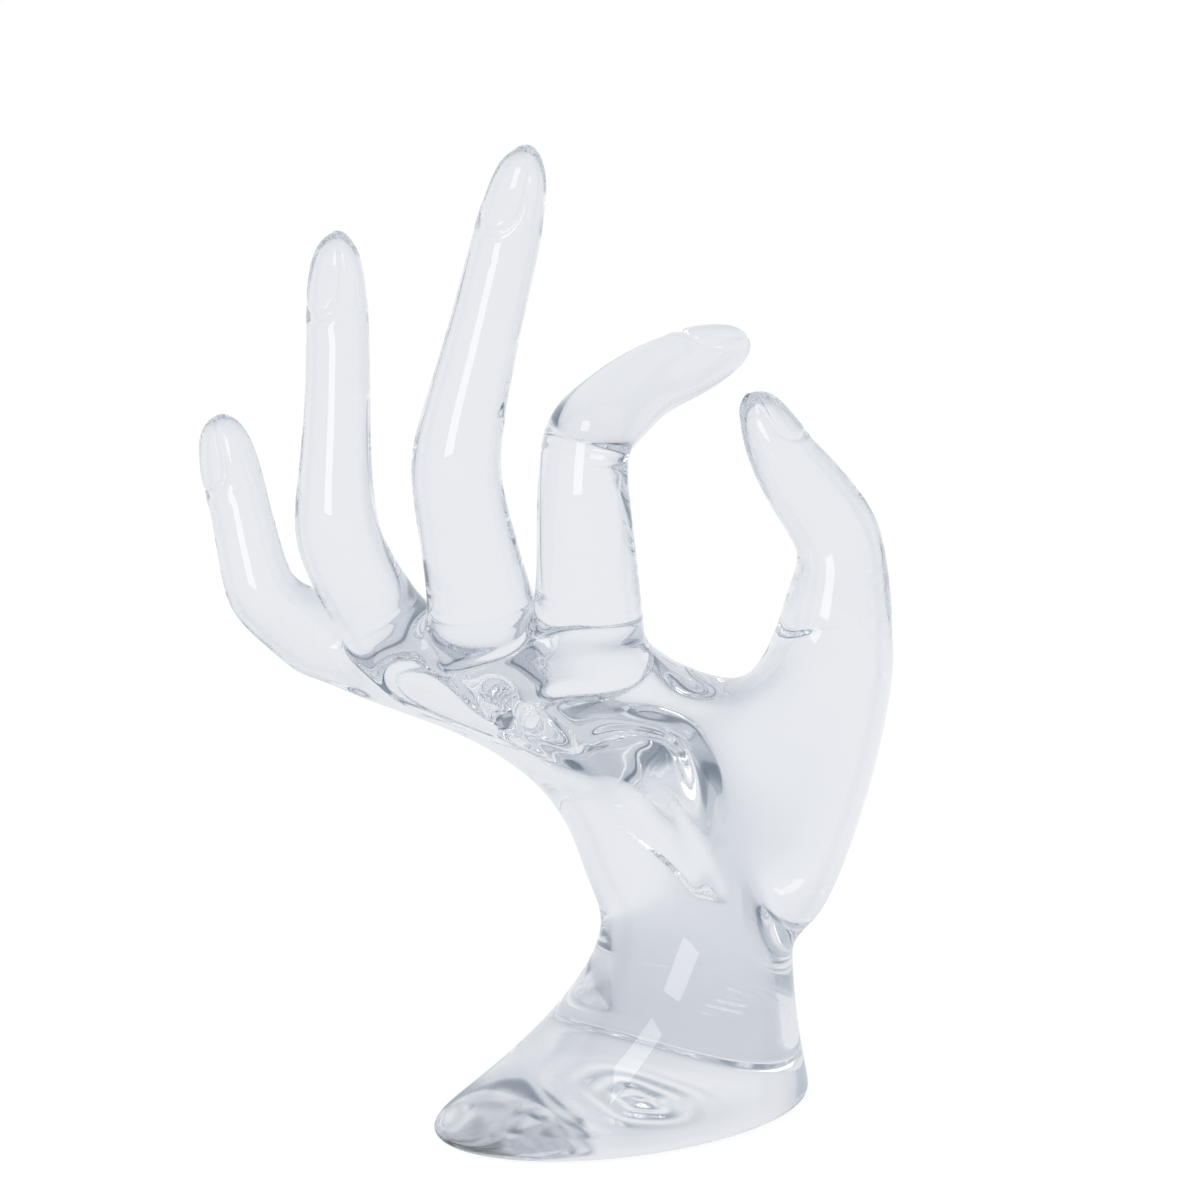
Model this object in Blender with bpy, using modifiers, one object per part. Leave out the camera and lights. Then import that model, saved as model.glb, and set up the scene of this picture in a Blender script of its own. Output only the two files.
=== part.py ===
"""A clear cast resin hand that rings and bracelets hang on.

A left hand seen from its back: the index finger and the thumb curl towards each other, the other three
fingers fan out, and the wrist flares into an oval foot. The real thing is cast in one piece, so it is
one closed solid: a coarse cage of rings round each bone, rounded by subdivision.

Metres, +Z up. The origin is the centre of the foot's underside. The back of the hand faces -Y.
"""

import math
from collections import namedtuple

import bmesh
import bpy
from mathutils import Quaternion, Vector

MM = 0.001

# The bones' lengths from joint to joint: in the palm, then the finger's first, second and tip bone.
PINKY_PALM_BONE = 64 * MM
PINKY_FIRST_BONE = 22 * MM
PINKY_SECOND_BONE = 15.5 * MM
PINKY_TIP_BONE = 16 * MM
RING_PALM_BONE = 61.5 * MM
RING_FIRST_BONE = 29 * MM
RING_SECOND_BONE = 25 * MM
RING_TIP_BONE = 25.5 * MM
MIDDLE_PALM_BONE = 56 * MM
MIDDLE_FIRST_BONE = 38.5 * MM
MIDDLE_SECOND_BONE = 27.5 * MM
MIDDLE_TIP_BONE = 26.5 * MM
INDEX_PALM_BONE = 50.5 * MM
INDEX_FIRST_BONE = 41.5 * MM
INDEX_SECOND_BONE = 19 * MM
INDEX_TIP_BONE = 21 * MM
THUMB_PALM_BONE = 50 * MM
THUMB_FIRST_BONE = 17 * MM
THUMB_SECOND_BONE = 19.5 * MM
THUMB_TIP_BONE = 11 * MM

# The palm's columns rise this far from the wrist before they bend over to the knuckles.
PINKY_RISE_LENGTH = 35 * MM
RING_RISE_LENGTH = 34 * MM
MIDDLE_RISE_LENGTH = 29 * MM
INDEX_RISE_LENGTH = 25 * MM
THUMB_RISE_LENGTH = 24 * MM

# A bone's lean is how far it tips sideways from upright, towards the thumb, and its tilt how far it tips
# towards the palm side, both in degrees.
Bone = namedtuple("Bone", "length lean tilt")
PINKY_BONES = (
    Bone(PINKY_PALM_BONE, -46.5, -5),
    Bone(PINKY_FIRST_BONE, -52, -11),
    Bone(PINKY_SECOND_BONE, -12, 8),
    Bone(PINKY_TIP_BONE, -14, 22),
)
RING_BONES = (
    Bone(RING_PALM_BONE, -44, -9),
    Bone(RING_FIRST_BONE, -25.5, -10),
    Bone(RING_SECOND_BONE, 2.5, 2),
    Bone(RING_TIP_BONE, 0, 14),
)
MIDDLE_BONES = (
    Bone(MIDDLE_PALM_BONE, -36.5, -10),
    Bone(MIDDLE_FIRST_BONE, -11, -7),
    Bone(MIDDLE_SECOND_BONE, 14, 2),
    Bone(MIDDLE_TIP_BONE, 14, 13),
)
INDEX_BONES = (
    Bone(INDEX_PALM_BONE, -27, -9),
    Bone(INDEX_FIRST_BONE, -2.5, -1),
    Bone(INDEX_SECOND_BONE, 59.5, 47),
    Bone(INDEX_TIP_BONE, 77, 34),
)
THUMB_BONES = (
    Bone(THUMB_PALM_BONE, 16, 20),
    Bone(THUMB_FIRST_BONE, 4.5, 7),
    Bone(THUMB_SECOND_BONE, -36.5, 0),
    Bone(THUMB_TIP_BONE, -24, 0),
)
PINKY_RISE = Bone(PINKY_RISE_LENGTH, -4, 0)
RING_RISE = Bone(RING_RISE_LENGTH, 1, 0)
MIDDLE_RISE = Bone(MIDDLE_RISE_LENGTH, 0, 0)
INDEX_RISE = Bone(INDEX_RISE_LENGTH, 2, 0)
THUMB_RISE = Bone(THUMB_RISE_LENGTH, 27, 12)

# Half widths across each digit: knuckle, web, first joint, mid bone, last joint, nail, tip.
PINKY_HALVES = (4.2 * MM, 7.3 * MM, 6.1 * MM, 5.5 * MM, 5.1 * MM, 4.6 * MM, 3.4 * MM)
RING_HALVES = (8.2 * MM, 7.6 * MM, 7.1 * MM, 5.9 * MM, 5.3 * MM, 4.9 * MM, 3.6 * MM)
MIDDLE_HALVES = (9.3 * MM, 8.7 * MM, 7.4 * MM, 6.3 * MM, 5.7 * MM, 5.1 * MM, 3.9 * MM)
INDEX_HALVES = (9.5 * MM, 9.0 * MM, 7.5 * MM, 6.9 * MM, 6.2 * MM, 5.2 * MM, 3.5 * MM)
THUMB_HALVES = (10.6 * MM, 9.2 * MM, 7.5 * MM, 7.5 * MM, 5.9 * MM, 4.9 * MM, 3.7 * MM)
SIDE_AT_WRIST = 8.8 * MM

# Depth of the palm side below each column's middle: wrist, lower palm, upper palm, knuckle pad.
PINKY_PALM = (12 * MM, 11 * MM, 9.5 * MM, 8 * MM)
RING_PALM = (12 * MM, 10.5 * MM, 8.5 * MM, 9 * MM)
MIDDLE_PALM = (12 * MM, 9.5 * MM, 7.5 * MM, 9.5 * MM)
INDEX_PALM = (12 * MM, 10.5 * MM, 8 * MM, 10 * MM)
THUMB_PALM = (10.5 * MM, 12.5 * MM, 12 * MM, 10 * MM)
BACK_AT_WRIST = 11 * MM
BACK_AT_KNUCKLE = 8.5 * MM

# A digit is not quite round: its back and its palm side, as shares of its half width.
BACK_SHARE = 0.92
PALM_SHARE = 0.95

# How far the hand's back is turned from the viewer, to the little finger's side, and each tip's back.
PALM_FACING = 14
PINKY_TIP_FACING = 49
RING_TIP_FACING = 36
MIDDLE_TIP_FACING = 24
INDEX_TIP_FACING = 34
THUMB_TIP_FACING = -75

# Where each column starts, across the wrist from its middle, and how far up its finger the web reaches.
# The thumb's web lies this far below the middle of the valley that it closes, and this far outwards.
PINKY_START, PINKY_WEB = -11 * MM, 0.38
RING_START, RING_WEB = -6.5 * MM, 0.33
MIDDLE_START, MIDDLE_WEB = -1 * MM, 0.25
INDEX_START, INDEX_WEB = 5 * MM, 0.2
THUMB_START = 11.5 * MM
THUMB_WEB_DROP = 6 * MM
THUMB_WEB_SHIFT = 3 * MM

# Foot and wrist. The sides curve in from the foot's edge as (1 - height share) to the flare's power.
FOOT_HALF_LENGTH = 35 * MM
FOOT_HALF_WIDTH = 21.8 * MM
FOOT_TURN = 24
FOOT_EDGE = 1.3 * MM
UNDERSIDE_INSET = 5 * MM
FLARE_HEIGHT = 30 * MM
FLARE_POWER = 1.7
WRIST_ACROSS = 13.5 * MM
WRIST_PALMWARD = 8.4 * MM
WRIST_HALF_WIDTH = 16.4 * MM
WRIST_HALF_DEPTH = 13.5 * MM
WRIST_TURN = -25
COLUMN_HEIGHT = 33 * MM

# The cage: rings up the flare and up the palm's columns, and how full the valleys between columns are.
FLARE_LEVELS = (0.14, 0.3, 0.5, 0.75, 1.0)
PALM_LEVELS = (0.1, 0.3, 0.52, 0.74, 0.93)
PALM_FILLS = (1.0, 1.0, 1.0, 0.95, 0.75)
WEB_FILLS = (0.4, 0.0)

# Near a joint, a section leans this share of the way towards the next bone.
JOINT_ZONE = 0.2
BEND_SHARE = 0.4

# Subdivision draws a ring of eight in to this share of its radius, and a ring of 24 to this one.
EIGHT_SHARE = 0.902
OVAL_SHARE = 0.989
SUBDIVISION = 2
KEEP_SHARE = 0.5

Digit = namedtuple("Digit", "bones halves palm_depths tip_facing start rise web")
Spot = namedtuple("Spot", "place along half_width back_depth palm_depth reach")
Section = namedtuple("Section", "place across back half_width back_depth palm_depth")


def direction(bone):
    """The unit vector along a bone."""
    lean, tilt = math.radians(bone.lean), math.radians(bone.tilt)
    return Vector((math.sin(lean) * math.cos(tilt), math.sin(tilt), math.cos(lean) * math.cos(tilt)))


def mix(a, b, share):
    return a + (b - a) * share


def oval(centre, half_length, half_width, turn):
    """24 points of a level oval, in the order of a palm ring, with no twist between ovals of any turn."""
    turned = math.radians(turn)
    long_axis = Vector((math.cos(turned), math.sin(turned), 0))
    wide_axis = Vector((-math.sin(turned), math.cos(turned), 0))
    points = []
    for step in range(24):
        angle = math.radians(WRIST_TURN + 180 + 15 * step)
        way = Vector((math.cos(angle), math.sin(angle), 0))
        lengthways = long_axis * (way.dot(long_axis) * half_length)
        widthways = wide_axis * (way.dot(wide_axis) * half_width)
        points.append(centre + (lengthways + widthways) / OVAL_SHARE)
    return points


def foot_rings():
    """Ovals from the flat underside up into the wrist, lowest first."""
    rings = []
    for inset in (UNDERSIDE_INSET, FOOT_EDGE):
        rings.append(oval(Vector(), FOOT_HALF_LENGTH - inset, FOOT_HALF_WIDTH - inset, FOOT_TURN))
    wide = oval(Vector(), FOOT_HALF_LENGTH, FOOT_HALF_WIDTH, FOOT_TURN)
    slim = oval(Vector((WRIST_ACROSS, WRIST_PALMWARD, 0)), WRIST_HALF_WIDTH, WRIST_HALF_DEPTH, WRIST_TURN)
    for height in (FOOT_EDGE, *(level * FLARE_HEIGHT for level in FLARE_LEVELS)):
        flare = (1 - height / FLARE_HEIGHT) ** FLARE_POWER
        rings.append([mix(a, b, flare) + Vector((0, 0, height)) for a, b in zip(slim, wide)])
    return rings


def column(digit, start, share):
    """The place and direction share of the way along a digit's column in the palm."""
    heel = start + direction(digit.rise) * digit.rise.length
    knuckle = start + direction(digit.bones[0]) * digit.bones[0].length
    place = mix(mix(start, heel, share), mix(heel, knuckle, share), share)
    return place, mix(heel - start, knuckle - heel, share).normalized()


def palm_spots(digit, start):
    """The spots up the digit's column in the palm, where its back faces as the palm's does."""
    spots = []
    for share in PALM_LEVELS:
        place, along = column(digit, start, share)
        half_width = mix(SIDE_AT_WRIST, digit.halves[0], share)
        back_depth = mix(BACK_AT_WRIST, BACK_AT_KNUCKLE, share)
        third = min(int(share * 3), 2)
        palm_depth = mix(digit.palm_depths[third], digit.palm_depths[third + 1], share * 3 - third)
        spots.append(Spot(place, along, half_width, back_depth, palm_depth, 0.0))
    return spots


def finger_cuts(digit):
    """(bone, share of its length, half width) of each section beyond the knuckle.

    The first two of a finger still lie in the palm's web. The thumb leaves the palm below its knuckle.
    """
    knuckle, web, joint, middle, last_joint, nail, tip = digit.halves
    if digit.web:
        return (
            (1, 0.4 * digit.web, mix(knuckle, web, 0.4)),
            (1, digit.web, web),
            (1, mix(digit.web, 1, 0.3), mix(web, joint, 0.3)),
            (1, 0.88, joint),
            (2, 0.1, joint),
            (2, 0.5, middle),
            (2, 0.95, last_joint),
            (3, 0.3, last_joint),
            (3, 0.62, nail),
            (3, 0.88, tip),
        )
    return (
        (1, 0.05, mix(knuckle, web, 0.6)),
        (1, 0.4, web),
        (1, 0.85, joint),
        (2, 0.15, middle),
        (2, 0.55, mix(middle, last_joint, 0.3)),
        (2, 0.95, last_joint),
        (3, 0.35, nail),
        (3, 0.75, tip),
    )


def finger_spots(digit, start):
    """The spots beyond the knuckle, and the tip's place."""
    joints = [start]
    for bone in digit.bones:
        joints.append(joints[-1] + direction(bone) * bone.length)
    last = len(digit.bones) - 1
    spots = []
    for bone, share, half in finger_cuts(digit):
        along = direction(digit.bones[bone])
        if share > 1 - JOINT_ZONE and bone < last:
            along = mix(along, direction(digit.bones[bone + 1]), BEND_SHARE * share).normalized()
        if share < JOINT_ZONE:
            along = mix(along, direction(digit.bones[bone - 1]), BEND_SHARE * (1 - share)).normalized()
        place = mix(joints[bone], joints[bone + 1], share)
        spots.append(Spot(place, along, half, BACK_SHARE * half, PALM_SHARE * half, (bone - 1 + share) / last))
    return spots, joints[-1]


def sections_of(digit, start):
    """All the sections of a digit, its back carried along from bone to bone and rolled to face as the tip does."""
    spots, tip = finger_spots(digit, start)
    facing = math.radians(PALM_FACING)
    back = Vector((-math.sin(facing), -math.cos(facing), 0))
    before, rolled = Vector((0, 0, 1)), 0
    sections = []
    for spot in palm_spots(digit, start) + spots:
        back = before.rotation_difference(spot.along) @ back
        roll = math.radians(digit.tip_facing - PALM_FACING) * spot.reach
        back = Quaternion(spot.along, rolled - roll) @ back
        before, rolled = spot.along, roll
        across = spot.along.cross(back)
        sections.append(Section(spot.place, across, back, spot.half_width, spot.back_depth, spot.palm_depth))
    return sections, tip


def ring(section):
    """Eight points round a section: back, back right, right, palm right, palm, palm left, left, back left."""
    points = []
    for step in range(8):
        angle = math.radians(45 * step)
        depth = section.back_depth if math.cos(angle) > 0 else section.palm_depth
        offset = section.back * (math.cos(angle) * depth) + section.across * (math.sin(angle) * section.half_width)
        points.append(section.place + offset / EIGHT_SHARE)
    return points


def fused_ring(sections, fill):
    """One ring round neighbouring sections, left to right. fill lifts the valleys between them."""
    rings = [ring(section) for section in sections]
    valleys = []
    for left, right in zip(rings, rings[1:]):
        back = mix((left[1] + right[7]) / 2, (left[0] + right[0]) / 2, fill)
        palm = mix((left[3] + right[5]) / 2, (left[4] + right[4]) / 2, fill)
        valleys.append((back, palm))
    points = [rings[0][6], rings[0][7], rings[0][0]]
    for (back, _), right in zip(valleys, rings[1:]):
        points += [back, right[0]]
    points += [rings[-1][1], rings[-1][2], rings[-1][3], rings[-1][4]]
    for (_, palm), left in zip(reversed(valleys), reversed(rings[:-1])):
        points += [palm, left[4]]
    points.append(rings[0][5])
    return points


def add_ring(cage, points):
    return [cage.verts.new(point) for point in points]


def bridge(cage, low, high):
    """Four-sided faces between two rings of as many vertices."""
    for here in range(len(low)):
        there = (here + 1) % len(low)
        cage.faces.new((low[here], low[there], high[there], high[here]))


def run_up(cage, first, sections, tip):
    """Rings from the first ring up a free digit to its closed tip."""
    last = first
    for section in sections:
        here = add_ring(cage, ring(section))
        bridge(cage, last, here)
        last = here
    end = cage.verts.new(tip + (tip - sections[-1].place))
    for step in range(0, 8, 2):
        cage.faces.new((last[step], last[(step + 1) % 8], last[(step + 2) % 8], end))


def split_fingers(cage, low, fingers):
    """The last fused ring parts into four fingers, with one vertex in the middle of each web."""
    backs, back_valleys = low[2:9:2], low[3:8:2]
    palms, palm_valleys = low[18:11:-2], low[17:12:-2]
    webs = [cage.verts.new((back.co + palm.co) / 2) for back, palm in zip(back_valleys, palm_valleys)]
    for spot, (sections, tip) in enumerate(fingers):
        left = (low[19], low[0], low[1])
        right = (low[9], low[10], low[11])
        if spot > 0:
            left = (palm_valleys[spot - 1], webs[spot - 1], back_valleys[spot - 1])
        if spot < len(fingers) - 1:
            right = (back_valleys[spot], webs[spot], palm_valleys[spot])
        run_up(cage, [backs[spot], *right, palms[spot], *left], sections, tip)


def digits():
    """The five digits, from the little finger to the thumb."""
    return (
        Digit(PINKY_BONES, PINKY_HALVES, PINKY_PALM, PINKY_TIP_FACING, PINKY_START, PINKY_RISE, PINKY_WEB),
        Digit(RING_BONES, RING_HALVES, RING_PALM, RING_TIP_FACING, RING_START, RING_RISE, RING_WEB),
        Digit(
            MIDDLE_BONES, MIDDLE_HALVES, MIDDLE_PALM, MIDDLE_TIP_FACING, MIDDLE_START, MIDDLE_RISE, MIDDLE_WEB
        ),
        Digit(INDEX_BONES, INDEX_HALVES, INDEX_PALM, INDEX_TIP_FACING, INDEX_START, INDEX_RISE, INDEX_WEB),
        Digit(THUMB_BONES, THUMB_HALVES, THUMB_PALM, THUMB_TIP_FACING, THUMB_START, THUMB_RISE, 0),
    )


def hand_cage():
    """The whole hand as one closed cage: foot and palm in rings of 24, then each digit in rings of 8."""
    turned = math.radians(WRIST_TURN)
    wrist = Vector((WRIST_ACROSS, WRIST_PALMWARD, COLUMN_HEIGHT))
    across = Vector((math.cos(turned), math.sin(turned), 0))
    runs = [sections_of(digit, wrist + across * digit.start) for digit in digits()]
    cage = bmesh.new()
    rings = [add_ring(cage, points) for points in foot_rings()]
    for level, fill in enumerate(PALM_FILLS):
        rings.append(add_ring(cage, fused_ring([sections[level] for sections, _ in runs], fill)))
    for low, high in zip(rings, rings[1:]):
        bridge(cage, low, high)
    cage.faces.new(list(reversed(rings[0])))

    # The thumb parts first: its web is a dip between the index finger's column and its own.
    palm = rings[-1]
    back_valley, palm_valley = palm[9], palm[15]
    for valley in (back_valley, palm_valley):
        valley.co += Vector((THUMB_WEB_SHIFT, 0, -THUMB_WEB_DROP))
    web = cage.verts.new((back_valley.co + palm_valley.co) / 2)
    split = len(PALM_LEVELS)
    thumb_sections, thumb_tip = runs[4]
    run_up(cage, [*palm[10:15], palm_valley, web, back_valley], thumb_sections[split:], thumb_tip)
    low = [*palm[:10], web, *palm[15:]]
    for level, fill in enumerate(WEB_FILLS, split):
        high = add_ring(cage, fused_ring([sections[level] for sections, _ in runs[:4]], fill))
        bridge(cage, low, high)
        low = high
    parted = split + len(WEB_FILLS)
    split_fingers(cage, low, [(sections[parted:], tip) for sections, tip in runs[:4]])
    return cage


def build_hand(collection):
    cage = hand_cage()
    bmesh.ops.recalc_face_normals(cage, faces=cage.faces)
    mesh = bpy.data.meshes.new("hand_stand")
    cage.to_mesh(mesh)
    cage.free()
    mesh.shade_smooth()
    hand = bpy.data.objects.new("hand_stand", mesh)
    collection.objects.link(hand)
    rounding = hand.modifiers.new("rounding", "SUBSURF")
    rounding.levels = SUBDIVISION
    rounding.render_levels = SUBDIVISION
    fewer = hand.modifiers.new("fewer_faces", "DECIMATE")
    fewer.ratio = KEEP_SHARE
    return hand


def clear_resin():
    material = bpy.data.materials.new("clear_resin")
    material.use_nodes = True
    shader = material.node_tree.nodes["Principled BSDF"]
    shader.inputs["Base Color"].default_value = (0.93, 0.95, 0.97, 1)
    shader.inputs["Roughness"].default_value = 0.03
    shader.inputs["IOR"].default_value = 1.49
    shader.inputs["Transmission Weight"].default_value = 1.0
    return material


def main():
    for old in list(bpy.data.objects):
        bpy.data.objects.remove(old, do_unlink=True)
    collection = bpy.data.collections.new("hand_jewelry_stand")
    bpy.context.scene.collection.children.link(collection)
    hand = build_hand(collection)
    hand.data.materials.append(clear_resin())


main()
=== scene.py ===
"""The looks of the clear cast resin hand: its fine surface, the resin, and a plain pale studio.

The hand is drawn again from the same bones as the solid, at a finer subdivision, and nails, creases, lines
of the palm and the casting's own unevenness are then raised on it. Metres, +Z up, the back of the hand
faces -Y.
"""

import math
from collections import namedtuple

import bmesh
import bpy
import numpy as np
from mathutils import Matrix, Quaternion, Vector


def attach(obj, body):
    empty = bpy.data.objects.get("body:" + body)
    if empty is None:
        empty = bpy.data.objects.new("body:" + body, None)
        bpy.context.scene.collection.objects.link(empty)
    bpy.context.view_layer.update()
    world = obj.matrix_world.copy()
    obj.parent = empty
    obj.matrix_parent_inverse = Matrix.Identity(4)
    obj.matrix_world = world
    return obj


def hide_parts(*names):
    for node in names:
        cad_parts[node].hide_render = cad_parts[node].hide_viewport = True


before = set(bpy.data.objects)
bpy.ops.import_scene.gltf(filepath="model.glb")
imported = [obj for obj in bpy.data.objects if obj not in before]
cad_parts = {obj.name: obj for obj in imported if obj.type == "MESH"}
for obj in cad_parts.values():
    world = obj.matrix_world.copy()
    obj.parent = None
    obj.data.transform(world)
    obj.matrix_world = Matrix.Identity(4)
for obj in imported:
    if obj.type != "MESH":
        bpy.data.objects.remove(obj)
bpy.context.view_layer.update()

MM = 0.001

# The bones' lengths from joint to joint: in the palm, then the finger's first, second and tip bone.
PINKY_PALM_BONE = 64 * MM
PINKY_FIRST_BONE = 22 * MM
PINKY_SECOND_BONE = 15.5 * MM
PINKY_TIP_BONE = 16 * MM
RING_PALM_BONE = 61.5 * MM
RING_FIRST_BONE = 29 * MM
RING_SECOND_BONE = 25 * MM
RING_TIP_BONE = 25.5 * MM
MIDDLE_PALM_BONE = 56 * MM
MIDDLE_FIRST_BONE = 38.5 * MM
MIDDLE_SECOND_BONE = 27.5 * MM
MIDDLE_TIP_BONE = 26.5 * MM
INDEX_PALM_BONE = 50.5 * MM
INDEX_FIRST_BONE = 41.5 * MM
INDEX_SECOND_BONE = 19 * MM
INDEX_TIP_BONE = 21 * MM
THUMB_PALM_BONE = 50 * MM
THUMB_FIRST_BONE = 17 * MM
THUMB_SECOND_BONE = 19.5 * MM
THUMB_TIP_BONE = 11 * MM

# The palm's columns rise this far from the wrist before they bend over to the knuckles.
PINKY_RISE_LENGTH = 35 * MM
RING_RISE_LENGTH = 34 * MM
MIDDLE_RISE_LENGTH = 29 * MM
INDEX_RISE_LENGTH = 25 * MM
THUMB_RISE_LENGTH = 24 * MM

# A bone's lean is how far it tips sideways from upright, towards the thumb, and its tilt how far it tips
# towards the palm side, both in degrees.
Bone = namedtuple("Bone", "length lean tilt")
PINKY_BONES = (
    Bone(PINKY_PALM_BONE, -46.5, -5),
    Bone(PINKY_FIRST_BONE, -52, -11),
    Bone(PINKY_SECOND_BONE, -12, 8),
    Bone(PINKY_TIP_BONE, -14, 22),
)
RING_BONES = (
    Bone(RING_PALM_BONE, -44, -9),
    Bone(RING_FIRST_BONE, -25.5, -10),
    Bone(RING_SECOND_BONE, 2.5, 2),
    Bone(RING_TIP_BONE, 0, 14),
)
MIDDLE_BONES = (
    Bone(MIDDLE_PALM_BONE, -36.5, -10),
    Bone(MIDDLE_FIRST_BONE, -11, -7),
    Bone(MIDDLE_SECOND_BONE, 14, 2),
    Bone(MIDDLE_TIP_BONE, 14, 13),
)
INDEX_BONES = (
    Bone(INDEX_PALM_BONE, -27, -9),
    Bone(INDEX_FIRST_BONE, -2.5, -1),
    Bone(INDEX_SECOND_BONE, 59.5, 47),
    Bone(INDEX_TIP_BONE, 77, 34),
)
THUMB_BONES = (
    Bone(THUMB_PALM_BONE, 16, 20),
    Bone(THUMB_FIRST_BONE, 4.5, 7),
    Bone(THUMB_SECOND_BONE, -36.5, 0),
    Bone(THUMB_TIP_BONE, -24, 0),
)
PINKY_RISE = Bone(PINKY_RISE_LENGTH, -4, 0)
RING_RISE = Bone(RING_RISE_LENGTH, 1, 0)
MIDDLE_RISE = Bone(MIDDLE_RISE_LENGTH, 0, 0)
INDEX_RISE = Bone(INDEX_RISE_LENGTH, 2, 0)
THUMB_RISE = Bone(THUMB_RISE_LENGTH, 27, 12)

# Half widths across each digit: knuckle, web, first joint, mid bone, last joint, nail, tip.
PINKY_HALVES = (4.2 * MM, 7.3 * MM, 6.1 * MM, 5.5 * MM, 5.1 * MM, 4.6 * MM, 3.4 * MM)
RING_HALVES = (8.2 * MM, 7.6 * MM, 7.1 * MM, 5.9 * MM, 5.3 * MM, 4.9 * MM, 3.6 * MM)
MIDDLE_HALVES = (9.3 * MM, 8.7 * MM, 7.4 * MM, 6.3 * MM, 5.7 * MM, 5.1 * MM, 3.9 * MM)
INDEX_HALVES = (9.5 * MM, 9.0 * MM, 7.5 * MM, 6.9 * MM, 6.2 * MM, 5.2 * MM, 3.5 * MM)
THUMB_HALVES = (10.6 * MM, 9.2 * MM, 7.5 * MM, 7.5 * MM, 5.9 * MM, 4.9 * MM, 3.7 * MM)
SIDE_AT_WRIST = 8.8 * MM

# Depth of the palm side below each column's middle: wrist, lower palm, upper palm, knuckle pad.
PINKY_PALM = (12 * MM, 11 * MM, 9.5 * MM, 8 * MM)
RING_PALM = (12 * MM, 10.5 * MM, 8.5 * MM, 9 * MM)
MIDDLE_PALM = (12 * MM, 9.5 * MM, 7.5 * MM, 9.5 * MM)
INDEX_PALM = (12 * MM, 10.5 * MM, 8 * MM, 10 * MM)
THUMB_PALM = (10.5 * MM, 12.5 * MM, 12 * MM, 10 * MM)
BACK_AT_WRIST = 11 * MM
BACK_AT_KNUCKLE = 8.5 * MM

# A digit is not quite round: its back and its palm side, as shares of its half width.
BACK_SHARE = 0.92
PALM_SHARE = 0.95

# How far the hand's back is turned from the viewer, to the little finger's side, and each tip's back.
PALM_FACING = 14
PINKY_TIP_FACING = 49
RING_TIP_FACING = 36
MIDDLE_TIP_FACING = 24
INDEX_TIP_FACING = 34
THUMB_TIP_FACING = -75

# Where each column starts, across the wrist from its middle, and how far up its finger the web reaches.
# The thumb's web lies this far below the middle of the valley that it closes, and this far outwards.
PINKY_START, PINKY_WEB = -11 * MM, 0.38
RING_START, RING_WEB = -6.5 * MM, 0.33
MIDDLE_START, MIDDLE_WEB = -1 * MM, 0.25
INDEX_START, INDEX_WEB = 5 * MM, 0.2
THUMB_START = 11.5 * MM
THUMB_WEB_DROP = 6 * MM
THUMB_WEB_SHIFT = 3 * MM

# Foot and wrist. The sides curve in from the foot's edge as (1 - height share) to the flare's power.
FOOT_HALF_LENGTH = 35 * MM
FOOT_HALF_WIDTH = 21.8 * MM
FOOT_TURN = 24
FOOT_EDGE = 1.3 * MM
UNDERSIDE_INSET = 5 * MM
FLARE_HEIGHT = 30 * MM
FLARE_POWER = 1.7
WRIST_ACROSS = 13.5 * MM
WRIST_PALMWARD = 8.4 * MM
WRIST_HALF_WIDTH = 16.4 * MM
WRIST_HALF_DEPTH = 13.5 * MM
WRIST_TURN = -25
COLUMN_HEIGHT = 33 * MM

# The cage: rings up the flare and up the palm's columns, and how full the valleys between columns are.
FLARE_LEVELS = (0.14, 0.3, 0.5, 0.75, 1.0)
PALM_LEVELS = (0.1, 0.3, 0.52, 0.74, 0.93)
PALM_FILLS = (1.0, 1.0, 1.0, 0.95, 0.75)
WEB_FILLS = (0.4, 0.0)

# Near a joint, a section leans this share of the way towards the next bone.
JOINT_ZONE = 0.2
BEND_SHARE = 0.4

# Points in a digit's ring and in an oval, and the share of its radius that subdivision draws each in to.
DIGIT_POINTS = 8
OVAL_POINTS = 24
DIGIT_SHARE = 0.902
OVAL_SHARE = 0.989

# The cage is subdivided this often, and this share of the faces is kept.
SUBDIVISION = 4
KEEP_SHARE = 0.5

# The underside's inner rings, as shares of its edge.
UNDERSIDE_RINGS = (0.75, 0.5, 0.25)

Digit = namedtuple("Digit", "name bones halves palm_depths tip_facing start rise web")
Spot = namedtuple("Spot", "place along half_width back_depth palm_depth reach")
Section = namedtuple("Section", "place across back half_width back_depth palm_depth")

PINKY = Digit(
    "pinky", PINKY_BONES, PINKY_HALVES, PINKY_PALM, PINKY_TIP_FACING, PINKY_START, PINKY_RISE, PINKY_WEB
)
RING = Digit("ring", RING_BONES, RING_HALVES, RING_PALM, RING_TIP_FACING, RING_START, RING_RISE, RING_WEB)
MIDDLE = Digit(
    "middle",
    MIDDLE_BONES,
    MIDDLE_HALVES,
    MIDDLE_PALM,
    MIDDLE_TIP_FACING,
    MIDDLE_START,
    MIDDLE_RISE,
    MIDDLE_WEB,
)
INDEX = Digit(
    "index", INDEX_BONES, INDEX_HALVES, INDEX_PALM, INDEX_TIP_FACING, INDEX_START, INDEX_RISE, INDEX_WEB
)
THUMB = Digit("thumb", THUMB_BONES, THUMB_HALVES, THUMB_PALM, THUMB_TIP_FACING, THUMB_START, THUMB_RISE, 0)
DIGITS = (PINKY, RING, MIDDLE, INDEX, THUMB)

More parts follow.
